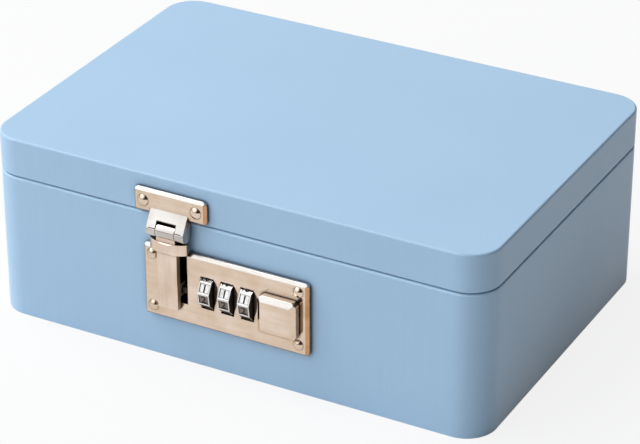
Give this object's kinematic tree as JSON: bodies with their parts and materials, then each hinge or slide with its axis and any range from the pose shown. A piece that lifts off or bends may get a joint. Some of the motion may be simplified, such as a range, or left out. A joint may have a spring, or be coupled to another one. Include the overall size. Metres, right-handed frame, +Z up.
{
  "type": "combination lock box",
  "caption": "Painted wooden box with a back-hinged lid, closed by a swinging hasp over a dial combination lock with a slide button.",
  "frame": {"origin": "middle of the underside of the bottom, where the box rests", "axes": "+X to the right along the front, -Y out of the front with the lock, +Z up"},
  "size_m": [0.22, 0.1666, 0.08],
  "materials": {
    "blue_paint": "satin lacquer on fibreboard",
    "fibreboard": "raw",
    "felt": "matt felt",
    "polished_nickel": "polished nickel plate",
    "dial_chrome": "polished",
    "hinge_steel": "nickel-plated sheet",
    "spring_steel": "plain",
    "brass": "turned"
  },
  "bodies": {
    "box": {"body_front": "blue_paint", "body_back": "blue_paint", "body_left": "blue_paint", "body_right": "blue_paint", "bottom_panel": "fibreboard", "floor_felt": "felt", "hinge_body_leaves": "hinge_steel", "hinge_pins": "hinge_steel", "hinge_body_screws": "hinge_steel", "lock_plate": "polished_nickel", "lock_nails": "polished_nickel", "lock_case": "spring_steel", "case_screws": "spring_steel", "dial_axle": "spring_steel", "detent_spring": "spring_steel"},
    "lid": {"lid_front": "blue_paint", "lid_back": "blue_paint", "lid_left": "blue_paint", "lid_right": "blue_paint", "lid_top": "blue_paint", "hinge_lid_leaves": "hinge_steel", "hinge_lid_screws": "hinge_steel", "hasp_plate": "polished_nickel", "hasp_nails": "polished_nickel", "hasp_pin": "spring_steel"},
    "hasp": {"hasp_arm": "polished_nickel"},
    "wheel_1": {"dial_1": "dial_chrome", "sleeve_1": "brass"},
    "wheel_2": {"dial_2": "dial_chrome", "sleeve_2": "brass"},
    "wheel_3": {"dial_3": "dial_chrome", "sleeve_3": "brass"},
    "slide": {"slide_button": "polished_nickel", "latch_bar": "spring_steel", "button_screw": "spring_steel", "latch_spring": "spring_steel"}
  },
  "joints": [
    {"name": "lid_hinge", "type": "hinge", "parent": "box", "child": "lid", "pos_m": [0, 0.0784, 0.06345], "axis": [-1, 0, 0], "range_deg": [0, 105]},
    {"name": "hasp_swing", "type": "hinge", "parent": "lid", "child": "hasp", "pos_m": [-0.0244, -0.0796, 0.05915], "axis": [-1, 0, 0], "range_deg": [0, 130]},
    {"name": "dial_1_turn", "type": "hinge", "parent": "box", "child": "wheel_1", "pos_m": [-0.00773, -0.0745, 0.0354], "axis": [1, 0, 0], "continuous": true},
    {"name": "dial_2_turn", "type": "hinge", "parent": "box", "child": "wheel_2", "pos_m": [0.00118, -0.0745, 0.0354], "axis": [1, 0, 0], "continuous": true},
    {"name": "dial_3_turn", "type": "hinge", "parent": "box", "child": "wheel_3", "pos_m": [0.01008, -0.0745, 0.0354], "axis": [1, 0, 0], "continuous": true},
    {"name": "button_slide", "type": "slide", "parent": "box", "child": "slide", "axis": [1, 0, 0], "range_m": [-0.0016, 0.0006], "stiffness_N_per_m": 250, "springref_m": -0.0016, "deforming": ["latch_spring"]}
  ]
}
